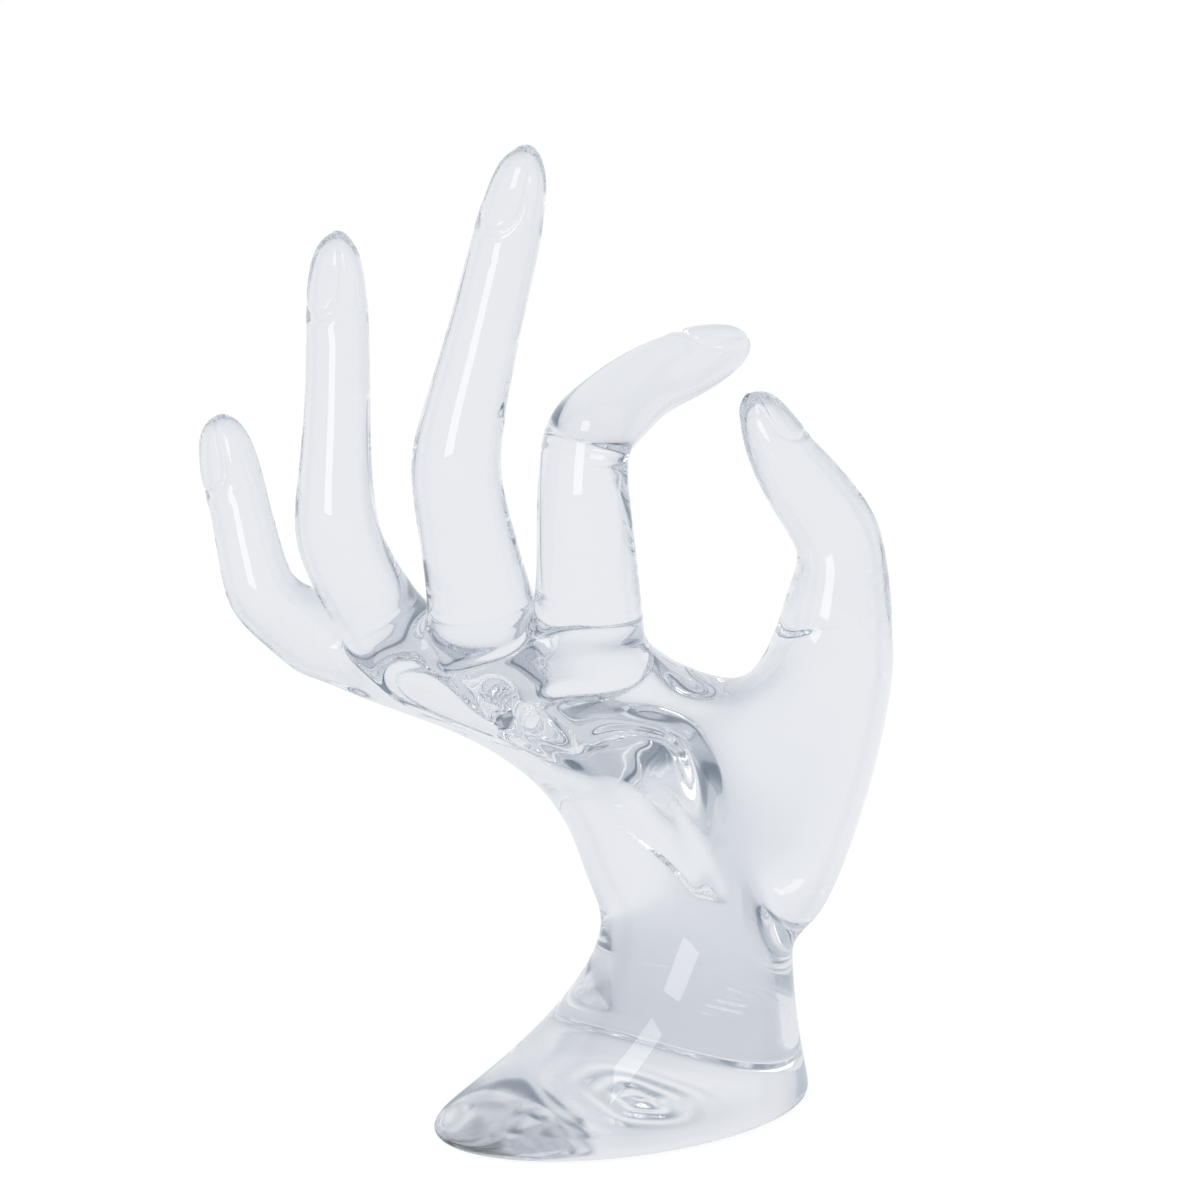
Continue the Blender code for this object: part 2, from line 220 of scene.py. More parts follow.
# The nails: where the cuticle and the free edge lie along the tip bone, the plate's half width as a share
# of the digit's, and how far the plate is turned from the tip's back, in degrees.
Nail = namedtuple("Nail", "cuticle end width turn")
NAILS = {
    "pinky": Nail(0.2, 0.95, 0.62, 0),
    "ring": Nail(0.45, 0.96, 0.62, 8),
    "middle": Nail(0.44, 0.95, 0.62, 14),
    "index": Nail(0.4, 0.96, 0.62, 0),
    "thumb": Nail(0.1, 0.93, 0.66, 0),
}
NAIL_HEIGHT = 0.45 * MM
NAIL_EDGE = 0.25 * MM
NAIL_GROOVE = 0.35 * MM
NAIL_FOLD = 0.18 * MM
FOLD_OFFSET = 4 * NAIL_EDGE
FOLD_WIDTH = 2 * NAIL_EDGE

# A nail's outline is a rounded rectangle of this power, narrower towards the tip by this share.
NAIL_POWER = 2.5
NAIL_TAPER = 0.22

# Where along the nail the plate, groove and fold are gone and where they are full, from -1 at the cuticle to
# 1 at the free edge. The same by how squarely the surface faces as the nail does, and a nail's reach from
# its joint as a share of the tip bone.
PLATE_FADE = (1.3, 0.5)
GROOVE_FADE = (0.8, 0.2)
FOLD_FADE = (0.1, -0.5)
NAIL_FACING = (0.0, 0.35)
NAIL_REACH = 1.4

# Creases inside the index finger's first bend and at the fingers' roots, and soft swellings: a knuckle on
# the back and a pad under it. Reach is in half widths of the digit, and the fade a share of the reach.
CREASED_JOINTS = {"index": (2,)}
CREASE_DEPTH = 0.3 * MM
CREASE_WIDTH = 0.65 * MM
CREASE_STEP = 1.6 * MM
ROOT_WIDTH = 0.55 * MM
ROOT_DEPTHS = {"pinky": 0, "ring": 0.08 * MM, "middle": 0.1 * MM, "index": 0.4 * MM}
KNUCKLE_LIFT = 0.6 * MM
KNUCKLE_SPREAD = 5.5 * MM
PAD_LIFT = 0.5 * MM
PAD_SPREAD = 6 * MM
PAD_REACH = 3 * MM
JOINT_REACH = 1.7
JOINT_FADE = 1.2

# How squarely the surface faces the crease's or the swelling's own way where each is gone and where full.
CREASE_FACING = (0.1, 0.7)
SWELLING_FACING = (0.2, 0.8)
PALM_SIDE_FACING = (0.1, 0.6)

# The lines of the palm, as points across and up in millimetres, seen from the hand's back.
PALM_LINES = (
    ((13, 80), (-4, 75), (-20, 71), (-33, 70)),
    ((-6, 87), (-18, 80), (-32, 76), (-44, 79)),
    ((-30, 68), (-16, 62), (-3, 55), (6, 49), (13, 42), (18, 34)),
    ((20, 69), (29, 72), (37, 78)),
)
PALM_LINE_DEPTH = 0.6 * MM
PALM_LINE_WIDTH = 0.9 * MM

# A line's corners are cut by this share of each stretch, this often.
CORNER_CUT = 0.25
CORNER_ROUNDS = 3

# The hollow of the palm is filled by this much about a point across and up.
HOLLOW_FILL = 3 * MM
HOLLOW_FILL_CENTRE = (4 * MM, 57 * MM)
HOLLOW_FILL_SPREAD = 12 * MM

# The underside is slightly dished, with a flat rim that it stands on, and shrink ripples in the dish. The
# dish's floor and rim are shares of the underside. The ripples' rings sway by lobes, radians and a turn.
FLATNESS = 0.01 * MM
DISH_DEPTH = 0.3 * MM
DISH_FLOOR = 0.3
DISH_RIM = 0.8
RIPPLE_CENTRE = Vector((3 * MM, 0, 0))
RIPPLE_LENGTH = 3.9 * MM
RIPPLE_HEIGHT = 0.22 * MM
RIPPLE_SPREAD = 10 * MM
RIPPLE_SWAYS = ((2, 0.9, 0.6), (5, 0.45, 2.0))

# The resin, with very faint lumps, this many to the metre. The underside is less polished than the rest.
RESIN_COLOR = (0.792, 0.808, 0.845, 1)
RESIN_IOR = 1.49
LUMP_SCALE = 90
LUMP_DETAIL = 1
LUMP_STRENGTH = 0.03
LUMP_DEPTH = 0.4 * MM
UNDERSIDE_ROUGHNESS = 0.08
SCUFFED_BELOW = 0.5 * MM
POLISHED_ABOVE = 0.6 * MM

# The casting's unevenness: as many waves, with lengths between these, and their height together. They begin
# at a height above the foot and are full at another.
WAVE_SEED = 7
WAVE_COUNT = 24
WAVE_LENGTHS = (12 * MM, 30 * MM)
WAVE_HEIGHT = 0.025 * MM
WAVES_BEGIN = 12 * MM
WAVES_FULL = 45 * MM

WHITE = (1, 1, 1, 1)

# The studio as the resin sees it: colours by the sine of the height above the horizon.
SKY = (
    (-1, (0.9, 0.9, 0.9)),
    (0, (1, 1, 1)),
    (0.42, (1, 1, 1)),
    (0.6, (0.88, 0.895, 0.91)),
    (0.8, (0.71, 0.735, 0.76)),
    (0.92, (0.57, 0.61, 0.645)),
    (1, (0.3, 0.36, 0.41)),
)

# The same by the sine of the bearing from straight ahead: pale grey, and at each side a dark upright flag.
SIDES = (
    (0.68, (1, 1, 1)),
    (0.86, (0.9, 0.915, 0.93)),
    (0.94, (0.86, 0.88, 0.9)),
    (0.98, (0.74, 0.775, 0.805)),
    (0.992, (0.3, 0.36, 0.42)),
    (1, (0.2, 0.26, 0.32)),
)

# The floor as the resin sees it: a painted shadow of the stand, with colours by the distance in metres from
# under the stand. Its glow and its side in metres.
PAINTED_STAND_SHADOW = (
    (0.04, (0.7, 0.73, 0.76)),
    (0.1, (0.83, 0.852, 0.874)),
    (0.14, (0.96, 0.968, 0.975)),
    (0.2, (1, 1, 1)),
)
FLOOR_GLOW = 0.88
FLOOR_SIZE = 6

# The floor's matt paint where it is seen, over its glow, and where it only passes soft light on.
FLOOR_SEEN = (0.25, 0.25, 0.25, 1)
FLOOR_PLAIN = (0.8, 0.8, 0.8, 1)

# The studio's soft light on matt surfaces.
SOFT_LIGHT = 0.5

# Light is mirrored many times inside a clear solid before it comes out.
LIGHT_BOUNCES = 32

# The film of air between the foot and the floor.
FLOOR_GAP = 0.25 * MM

SoftBox = namedtuple("SoftBox", "name place aim width height watts")
TALL_STRIP = SoftBox("tall_strip", (-0.4, -0.86, 0.25), (0, 0, 0.12), 0.34, 0.46, 1.5)
WINDOW = SoftBox("window", (-0.25, -0.6, 0.85), (0, 0, 0.02), 0.3, 0.35, 1.0)

# The camera, from the photograph: it looks down on the stand from in front.
CAMERA_TARGET = Vector((-3.3 * MM, 6.4 * MM, 88.8 * MM))
CAMERA_DISTANCE = 700 * MM
CAMERA_ELEVATION = 16
CAMERA_FOCAL = 126
CAMERA_SENSOR = 36
CAMERA_NEAR = 10 * MM


def direction(bone):
    """The unit vector along a bone."""
    lean, tilt = math.radians(bone.lean), math.radians(bone.tilt)
    return Vector((math.sin(lean) * math.cos(tilt), math.sin(tilt), math.cos(lean) * math.cos(tilt)))


def mix(a, b, share):
    """The value at this share of the way from a to b."""
    return a + (b - a) * share


def smooth(low, high, value):
    """0 below low, 1 above high, and an S between them. It takes numbers and arrays."""
    share = np.clip((value - low) / (high - low), 0, 1)
    return share * share * (3 - 2 * share)


def oval(centre, half_length, half_width, turn):
    """A level ring of the foot or wrist."""
    turned = math.radians(turn)
    long_axis = Vector((math.cos(turned), math.sin(turned), 0))
    wide_axis = Vector((-math.sin(turned), math.cos(turned), 0))
    points = []
    for step in range(OVAL_POINTS):
        angle = math.radians(WRIST_TURN + 180 + 360 / OVAL_POINTS * step)
        way = Vector((math.cos(angle), math.sin(angle), 0))
        lengthways = long_axis * (way.dot(long_axis) * half_length)
        widthways = wide_axis * (way.dot(wide_axis) * half_width)
        points.append(centre + (lengthways + widthways) / OVAL_SHARE)
    return points


def foot_rings():
    """The rings from the underside's edge up the flare to the wrist."""
    rings = []
    for inset in (UNDERSIDE_INSET, FOOT_EDGE):
        rings.append(oval(Vector(), FOOT_HALF_LENGTH - inset, FOOT_HALF_WIDTH - inset, FOOT_TURN))
    wide = oval(Vector(), FOOT_HALF_LENGTH, FOOT_HALF_WIDTH, FOOT_TURN)
    slim = oval(Vector((WRIST_ACROSS, WRIST_PALMWARD, 0)), WRIST_HALF_WIDTH, WRIST_HALF_DEPTH, WRIST_TURN)
    for height in (FOOT_EDGE, *(level * FLARE_HEIGHT for level in FLARE_LEVELS)):
        flare = (1 - height / FLARE_HEIGHT) ** FLARE_POWER
        rings.append([mix(a, b, flare) + Vector((0, 0, height)) for a, b in zip(slim, wide)])
    return rings


def column(digit, start, share):
    """The place and the way of a palm's column at this share of it, up from the wrist."""
    heel = start + direction(digit.rise) * digit.rise.length
    knuckle = start + direction(digit.bones[0]) * digit.bones[0].length
    place = mix(mix(start, heel, share), mix(heel, knuckle, share), share)
    return place, mix(heel - start, knuckle - heel, share).normalized()


def palm_spots(digit, start):
    """The digit's cross-sections in the palm."""
    spots = []
    for share in PALM_LEVELS:
        place, along = column(digit, start, share)
        half_width = mix(SIDE_AT_WRIST, digit.halves[0], share)
        back_depth = mix(BACK_AT_WRIST, BACK_AT_KNUCKLE, share)
        third = min(int(share * 3), 2)
        palm_depth = mix(digit.palm_depths[third], digit.palm_depths[third + 1], share * 3 - third)
        spots.append(Spot(place, along, half_width, back_depth, palm_depth, 0.0))
    return spots


def finger_cuts(digit):
    """(bone, share of its length, half width) of each section beyond the knuckle."""
    knuckle, web, joint, middle, last_joint, nail, tip = digit.halves
    if digit.web:
        return (
            (1, 0.4 * digit.web, mix(knuckle, web, 0.4)),
            (1, digit.web, web),
            (1, mix(digit.web, 1, 0.3), mix(web, joint, 0.3)),
            (1, 0.88, joint),
            (2, 0.1, joint),
            (2, 0.5, middle),
            (2, 0.95, last_joint),
            (3, 0.3, last_joint),
            (3, 0.62, nail),
            (3, 0.88, tip),
        )
    return (
        (1, 0.05, mix(knuckle, web, 0.6)),
        (1, 0.4, web),
        (1, 0.85, joint),
        (2, 0.15, middle),
        (2, 0.55, mix(middle, last_joint, 0.3)),
        (2, 0.95, last_joint),
        (3, 0.35, nail),
        (3, 0.75, tip),
    )


def joints_of(digit, run):
    """The ends of the digit's bones, from the wrist to the tip, worked back from the tip."""
    joints = [run[1]]
    for bone in reversed(digit.bones):
        joints.insert(0, joints[0] - direction(bone) * bone.length)
    return joints


def joints_from(digit, start):
    """The same joints, worked out from the wrist."""
    joints = [start]
    for bone in digit.bones:
        joints.append(joints[-1] + direction(bone) * bone.length)
    return joints


def finger_spots(digit, start):
    """The digit's cross-sections beyond the knuckle, and its tip."""
    joints = joints_from(digit, start)
    last = len(digit.bones) - 1
    spots = []
    for bone, share, half in finger_cuts(digit):
        along = direction(digit.bones[bone])
        if share > 1 - JOINT_ZONE and bone < last:
            along = mix(along, direction(digit.bones[bone + 1]), BEND_SHARE * share).normalized()
        if share < JOINT_ZONE:
            along = mix(along, direction(digit.bones[bone - 1]), BEND_SHARE * (1 - share)).normalized()
        place = mix(joints[bone], joints[bone + 1], share)
        reach = (bone - 1 + share) / last
        spots.append(Spot(place, along, half, BACK_SHARE * half, PALM_SHARE * half, reach))
    return spots, joints[-1]


def sections_of(digit, start):
    """The digit's cross-sections with their backs turned along the bends, and its tip."""
    spots, tip = finger_spots(digit, start)
    facing = math.radians(PALM_FACING)
    back = Vector((-math.sin(facing), -math.cos(facing), 0))
    before, rolled = Vector((0, 0, 1)), 0
    sections = []
    for spot in palm_spots(digit, start) + spots:
        back = before.rotation_difference(spot.along) @ back
        roll = math.radians(digit.tip_facing - PALM_FACING) * spot.reach
        back = Quaternion(spot.along, rolled - roll) @ back
        before, rolled = spot.along, roll
        across = spot.along.cross(back)
        sections.append(Section(spot.place, across, back, spot.half_width, spot.back_depth, spot.palm_depth))
    return sections, tip


def ring(section):
    """The points round a cross-section, from its back towards the thumb's side."""
    points = []
    for step in range(DIGIT_POINTS):
        angle = math.radians(360 / DIGIT_POINTS * step)
        depth = section.back_depth if math.cos(angle) > 0 else section.palm_depth
        backwards = section.back * (math.cos(angle) * depth)
        sideways = section.across * (math.sin(angle) * section.half_width)
        points.append(section.place + (backwards + sideways) / DIGIT_SHARE)
    return points


def fused_ring(sections, fill):
    """One ring round several columns, with the valleys between them filled by a share."""
    rings = [ring(section) for section in sections]
    valleys = []
    for left, right in zip(rings, rings[1:]):
        back = mix((left[1] + right[7]) / 2, (left[0] + right[0]) / 2, fill)
        palm = mix((left[3] + right[5]) / 2, (left[4] + right[4]) / 2, fill)
        valleys.append((back, palm))
    points = [rings[0][6], rings[0][7], rings[0][0]]
    for (back, _), right in zip(valleys, rings[1:]):
        points += [back, right[0]]
    points += [rings[-1][1], rings[-1][2], rings[-1][3], rings[-1][4]]
    for (_, palm), left in zip(reversed(valleys), reversed(rings[:-1])):
        points += [palm, left[4]]
    points.append(rings[0][5])
    return points


def add_ring(cage, points):
    """The cage's vertices at these points."""
    return [cage.verts.new(point) for point in points]


def bridge(cage, low, high):
    """The faces between two rings."""
    for here in range(len(low)):
        there = (here + 1) % len(low)
        cage.faces.new((low[here], low[there], high[there], high[here]))


def run_up(cage, first, sections, tip):
    """A digit from its first ring to its closed tip."""
    last = first
    for section in sections:
        here = add_ring(cage, ring(section))
        bridge(cage, last, here)
        last = here
    end = cage.verts.new(tip + (tip - sections[-1].place))
    for step in range(0, DIGIT_POINTS, 2):
        cage.faces.new((last[step], last[step + 1], last[(step + 2) % DIGIT_POINTS], end))


def split_fingers(cage, low, fingers):
    """The four fingers, parted from one ring with a web vertex in each parting."""
    backs, back_valleys = low[2:9:2], low[3:8:2]
    palms, palm_valleys = low[18:11:-2], low[17:12:-2]
    webs = [cage.verts.new((back.co + palm.co) / 2) for back, palm in zip(back_valleys, palm_valleys)]
    for spot, (sections, tip) in enumerate(fingers):
        left = (low[19], low[0], low[1])
        right = (low[9], low[10], low[11])
        if spot > 0:
            left = (palm_valleys[spot - 1], webs[spot - 1], back_valleys[spot - 1])
        if spot < len(fingers) - 1:
            right = (back_valleys[spot], webs[spot], palm_valleys[spot])
        run_up(cage, [backs[spot], *right, palms[spot], *left], sections, tip)


def digit_runs():
    """The sections and the tip of each digit."""
    turned = math.radians(WRIST_TURN)
    wrist = Vector((WRIST_ACROSS, WRIST_PALMWARD, COLUMN_HEIGHT))
    across = Vector((math.cos(turned), math.sin(turned), 0))
    return [sections_of(digit, wrist + across * digit.start) for digit in DIGITS]


def hand_cage(runs):
    """The hand's closed control cage, from the underside to the tips."""
    cage = bmesh.new()
    rings = [add_ring(cage, points) for points in foot_rings()]
    for level, fill in enumerate(PALM_FILLS):
        rings.append(add_ring(cage, fused_ring([sections[level] for sections, _ in runs], fill)))
    for low, high in zip(rings, rings[1:]):
        bridge(cage, low, high)
    inner = rings[0]
    for share in UNDERSIDE_RINGS:
        smaller = add_ring(cage, [vertex.co * share for vertex in rings[0]])
        bridge(cage, smaller, inner)
        inner = smaller
    cage.faces.new(list(reversed(inner)))

    palm = rings[-1]
    back_valley, palm_valley = palm[9], palm[15]
    for valley in (back_valley, palm_valley):
        valley.co += Vector((THUMB_WEB_SHIFT, 0, -THUMB_WEB_DROP))
    web = cage.verts.new((back_valley.co + palm_valley.co) / 2)
    split = len(PALM_LEVELS)
    thumb_sections, thumb_tip = runs[4]
    run_up(cage, [*palm[10:15], palm_valley, web, back_valley], thumb_sections[split:], thumb_tip)
    low = [*palm[:10], web, *palm[15:]]
    for level, fill in enumerate(WEB_FILLS, split):
        high = add_ring(cage, fused_ring([sections[level] for sections, _ in runs[:4]], fill))
        bridge(cage, low, high)
        low = high
    parted = split + len(WEB_FILLS)
    split_fingers(cage, low, [(sections[parted:], tip) for sections, tip in runs[:4]])
    return cage


def bell(distance, width):
    """1 at no distance, and little beyond the width."""
    return np.exp(-((distance / width) ** 2))


def nail_lift(points, normals, digit, run):
    """The nail's plate, the groove round it and the fold of skin behind its cuticle."""
    nail = NAILS[digit.name]
    sections, _ = run
    bone = digit.bones[-1]
    along = direction(bone)
    back = Quaternion(along, math.radians(-nail.turn)) @ sections[-1].back
    across = np.array(along.cross(back))
    root = np.array(joints_of(digit, run)[-2])
    local = points - root
    length = local @ np.array(along)
    side = local @ across
    middle = bone.length * (nail.cuticle + nail.end) / 2
    half_length = bone.length * (nail.end - nail.cuticle) / 2
    half_width = nail.width * digit.halves[-2]
    along_nail = (length - middle) / half_length
    width_here = half_width * (1 - NAIL_TAPER * along_nail)
    round_sum = np.abs(side / width_here) ** NAIL_POWER + np.abs(along_nail) ** NAIL_POWER
    inside = (1 - round_sum ** (1 / NAIL_POWER)) * half_width
    lift = NAIL_HEIGHT * smooth(-NAIL_EDGE, NAIL_EDGE, inside) * smooth(*PLATE_FADE, along_nail)
    lift -= NAIL_GROOVE * bell(inside + NAIL_EDGE, NAIL_EDGE) * smooth(*GROOVE_FADE, along_nail)
    lift += NAIL_FOLD * bell(inside + FOLD_OFFSET, FOLD_WIDTH) * smooth(*FOLD_FADE, along_nail)
    facing = smooth(*NAIL_FACING, normals @ np.array(back))
    near = np.linalg.norm(local, axis=1) < bone.length * NAIL_REACH
    return lift * facing * near


def crease(points, outwards, place, way, offset, size, reach):
    """A soft groove across a finger's palm side, this far along the way from a joint or root."""
    depth, width = size
    local = points - np.array(place)
    near = smooth(reach * JOINT_FADE, reach, np.linalg.norm(local, axis=1))
    palmwards = smooth(*CREASE_FACING, -outwards)
    return depth * bell(local @ np.array(way) - offset, width) * palmwards * near


def swelling(points, back, facing, place, size):
    """A soft round swelling about a line through a place, on the side that faces its way."""
    height, spread = size
    local = points - np.array(place)
    apart = np.linalg.norm(local, axis=1)
    from_line = np.sqrt(np.maximum(apart**2 - (local @ back) ** 2, 0))
    return height * bell(from_line, spread) * smooth(*SWELLING_FACING, facing)


def finger_lift(points, normals, digit, run):
    """Creases across the palm side of the joints, the knuckle on the back and the pad under it."""
    sections, _ = run
    joints = joints_of(digit, run)
    lift = np.zeros(len(points))
    reach = JOINT_REACH * digit.halves[1]
    for joint in CREASED_JOINTS.get(digit.name, ()):
        place = joints[joint]
        way = (direction(digit.bones[joint - 1]) + direction(digit.bones[joint])).normalized()
        outwards = normals @ np.array(back_at(sections, place))
        for offset in (-CREASE_STEP / 2, CREASE_STEP / 2):
            lift -= crease(points, outwards, place, way, offset, (CREASE_DEPTH, CREASE_WIDTH), reach)
    if digit.web:
        knuckle, first = joints[1], direction(digit.bones[1])
        back = np.array(back_at(sections, knuckle))
        outwards = normals @ back
        lift += swelling(points, back, outwards, knuckle, (KNUCKLE_LIFT, KNUCKLE_SPREAD))
        lift += swelling(points, back, -outwards, knuckle + first * PAD_REACH, (PAD_LIFT, PAD_SPREAD))
        root = knuckle + first * (digit.web * digit.bones[1].length)
        lift -= crease(points, outwards, root, first, 0, (ROOT_DEPTHS[digit.name], ROOT_WIDTH), reach)
    return lift


def back_at(sections, place):
    """The direction of the digit's back at the section nearest to a place."""
    return min(sections, key=lambda section: (section.place - place).length).back


def palm_lift(points, normals):
    """The lines of the palm and the fill of its hollow, on the palm's side."""
    seen = points[:, [0, 2]]
    lift = np.zeros(len(points))
    for line in PALM_LINES:
        drawn = rounded(np.array(line, dtype=float) * MM)
        lift -= PALM_LINE_DEPTH * bell(distance_to(drawn, seen), PALM_LINE_WIDTH)
    apart = np.linalg.norm(seen - np.array(HOLLOW_FILL_CENTRE), axis=1)
    lift += HOLLOW_FILL * bell(apart, HOLLOW_FILL_SPREAD)
    return lift * smooth(*PALM_SIDE_FACING, normals[:, 1])


def distance_to(line, seen):
    """How far each seen point is from the nearest stretch of a line."""
    distance = np.full(len(seen), np.inf)
    for start, end in zip(line, line[1:]):
        run = end - start
        share = np.clip(((seen - start) @ run) / (run @ run), 0, 1)
        gap = seen - start - share[:, None] * run
        distance = np.minimum(distance, np.linalg.norm(gap, axis=1))
    return distance


def rounded(corners):
    """A smooth line through the corners' stretches: each corner is cut off, several times over."""
    for _ in range(CORNER_ROUNDS):
        cut = [corners[0]]
        for start, end in zip(corners, corners[1:]):
            cut += [mix(start, end, CORNER_CUT), mix(start, end, 1 - CORNER_CUT)]
        corners = np.array([*cut, corners[-1]])
    return corners


def underside_lift(points):
    """How far the flat underside is raised into a shallow rippled dish."""
    turned = math.radians(FOOT_TURN)
    lengthways = points[:, 0] * math.cos(turned) + points[:, 1] * math.sin(turned)
    widthways = points[:, 1] * math.cos(turned) - points[:, 0] * math.sin(turned)
    length_share = lengthways / (FOOT_HALF_LENGTH - UNDERSIDE_INSET)
    width_share = widthways / (FOOT_HALF_WIDTH - UNDERSIDE_INSET)
    out = np.hypot(length_share, width_share)
    hollow = smooth(DISH_RIM, DISH_FLOOR, out)
    local = points - np.array(RIPPLE_CENTRE)
    away = np.linalg.norm(local, axis=1)
    bearing = np.arctan2(local[:, 1], local[:, 0])
    phase = away * (2 * math.pi / RIPPLE_LENGTH)
    for lobes, strength, turn in RIPPLE_SWAYS:
        phase += strength * np.sin(lobes * bearing + turn) * smooth(0, RIPPLE_LENGTH, away)
    ripple = RIPPLE_HEIGHT * np.sin(phase) * bell(away, RIPPLE_SPREAD)
    flat = points[:, 2] < FLATNESS
    return (DISH_DEPTH + ripple) * hollow * flat


def unevenness(points):
    """Long low waves, as a polished casting has."""
    chance = np.random.default_rng(WAVE_SEED)
    lift = np.zeros(len(points))
    for _ in range(WAVE_COUNT):
        way = chance.normal(size=3)
        way *= 2 * math.pi / chance.uniform(*WAVE_LENGTHS) / np.linalg.norm(way)
        lift += np.sin(points @ way + chance.uniform(0, 2 * math.pi))
    return lift * WAVE_HEIGHT / math.sqrt(WAVE_COUNT)


def smooth_hand(runs):
    """The hand as one finely subdivided mesh object, with its relief raised on it."""
    cage = hand_cage(runs)
    bmesh.ops.recalc_face_normals(cage, faces=cage.faces)
    mesh = bpy.data.meshes.new("hand")
    cage.to_mesh(mesh)
    cage.free()
    hand = bpy.data.objects.new("hand", mesh)
    bpy.context.scene.collection.objects.link(hand)
    rounding = hand.modifiers.new("rounding", "SUBSURF")
    rounding.levels = SUBDIVISION
    apply_modifiers(hand)
    raise_relief(hand.data, runs)
    hand.data.shade_smooth()
    thin_out(hand)
    return hand


def thin_out(hand):
    """Leaves a share of the faces, shaded as the fine mesh was."""
    fine = bpy.data.objects.new("fine_hand", hand.data.copy())
    bpy.context.scene.collection.objects.link(fine)
    fewer = hand.modifiers.new("fewer_faces", "DECIMATE")
    fewer.ratio = KEEP_SHARE
    shading = hand.modifiers.new("fine_shading", "DATA_TRANSFER")
    shading.object = fine
    shading.use_loop_data = True
    shading.data_types_loops = {"CUSTOM_NORMAL"}
    shading.loop_mapping = "POLYINTERP_NEAREST"
    apply_modifiers(hand)
    bpy.data.meshes.remove(fine.data)


def apply_modifiers(piece):
    """Gives the piece the mesh that its modifiers make, and takes them off."""
    bpy.context.view_layer.update()
    old = piece.data
    fresh = bpy.data.meshes.new_from_object(piece.evaluated_get(bpy.context.evaluated_depsgraph_get()))
    piece.modifiers.clear()
    piece.data = fresh
    bpy.data.meshes.remove(old)


def raise_relief(mesh, runs):
    """Moves each vertex along its normal by the sum of all the reliefs."""
    count = len(mesh.vertices)
    points = np.empty(count * 3)
    normals = np.empty(count * 3)
    mesh.vertices.foreach_get("co", points)
    mesh.vertex_normals.foreach_get("vector", normals)
    points = points.reshape(-1, 3)
    normals = normals.reshape(-1, 3)
    lift = unevenness(points) * smooth(WAVES_BEGIN, WAVES_FULL, points[:, 2])
    for digit, run in zip(DIGITS, runs):
        lift += nail_lift(points, normals, digit, run)
        lift += finger_lift(points, normals, digit, run)
    lift += palm_lift(points, normals)
    moved = points + normals * lift[:, None]
    moved[:, 2] += underside_lift(points)
    mesh.vertices.foreach_set("co", moved.ravel())
    mesh.update()


def resin():
    """Water-clear cast resin, with the faint grey-blue that thick resin has."""
    material = bpy.data.materials.new("clear_resin")
    material.use_nodes = True
    tree = material.node_tree
    nodes, links = tree.nodes, tree.links
    shader = nodes["Principled BSDF"]
    shader.inputs["Base Color"].default_value = RESIN_COLOR
    shader.inputs["IOR"].default_value = RESIN_IOR
    shader.inputs["Transmission Weight"].default_value = 1
    place = nodes.new("ShaderNodeTexCoord").outputs["Object"]
    links.new(underside_roughness(tree, place), shader.inputs["Roughness"])
    lumps = nodes.new("ShaderNodeTexNoise")
    lumps.inputs["Scale"].default_value = LUMP_SCALE
    lumps.inputs["Detail"].default_value = LUMP_DETAIL
    bump = nodes.new("ShaderNodeBump")
    bump.inputs["Strength"].default_value = LUMP_STRENGTH
    bump.inputs["Distance"].default_value = LUMP_DEPTH
    links.new(place, lumps.inputs["Vector"])
    links.new(lumps.outputs["Fac"], bump.inputs["Height"])
    links.new(bump.outputs["Normal"], shader.inputs["Normal"])
    return material


def underside_roughness(tree, place):
    """A little roughness on the underside and none above it."""
    parts = tree.nodes.new("ShaderNodeSeparateXYZ")
    tree.links.new(place, parts.inputs[0])
    scuffed = tree.nodes.new("ShaderNodeMapRange")
    scuffed.inputs["From Min"].default_value = SCUFFED_BELOW
    scuffed.inputs["From Max"].default_value = POLISHED_ABOVE
    scuffed.inputs["To Min"].default_value = UNDERSIDE_ROUGHNESS
    scuffed.inputs["To Max"].default_value = 0
    tree.links.new(parts.outputs["Z"], scuffed.inputs["Value"])
    return scuffed.outputs[0]


def number(tree, operation, *inputs):
    """A math node's output. Each input is a number or another node's output."""
    node = tree.nodes.new("ShaderNodeMath")
    node.operation = operation
    for socket, value in zip(node.inputs, inputs):
        if isinstance(value, (int, float)):
            socket.default_value = value
        else:
            tree.links.new(value, socket)
    return node.outputs[0]


def color_ramp(tree, value, stops):
    """A colour ramp's output. The stops are (value, colour) from the lowest up."""
    ramp = tree.nodes.new("ShaderNodeValToRGB")
    tree.links.new(value, ramp.inputs[0])
    elements = ramp.color_ramp.elements
    ends = (stops[0], stops[-1])
    for (place, color), stop in zip(ends, (elements[0], elements[1])):
        stop.position = place
        stop.color = (*color, 1)
    for place, color in stops[1:-1]:
        stop = elements.new(place)
        stop.color = (*color, 1)
    return ramp.outputs[0]


def side_color(tree, way):
    """The colour towards a bearing, and the height of the way: the studio is darker to the sides."""
    parts = tree.nodes.new("ShaderNodeSeparateXYZ")
    tree.links.new(way, parts.inputs[0])
    across, ahead = parts.outputs["X"], parts.outputs["Y"]
    across_squared = number(tree, "MULTIPLY", across, across)
    ahead_squared = number(tree, "MULTIPLY", ahead, ahead)
    level = number(tree, "SQRT", number(tree, "ADD", across_squared, ahead_squared))
    sideways = number(tree, "DIVIDE", number(tree, "ABSOLUTE", across), level)
    return color_ramp(tree, sideways, SIDES), parts.outputs["Z"]


def multiplied(tree, one, other):
    """The product of two colours."""
    node = tree.nodes.new("ShaderNodeMix")
    node.data_type = "RGBA"
    node.blend_type = "MULTIPLY"
    node.inputs[0].default_value = 1
    tree.links.new(one, node.inputs[6])
    tree.links.new(other, node.inputs[7])
    return node.outputs[2]


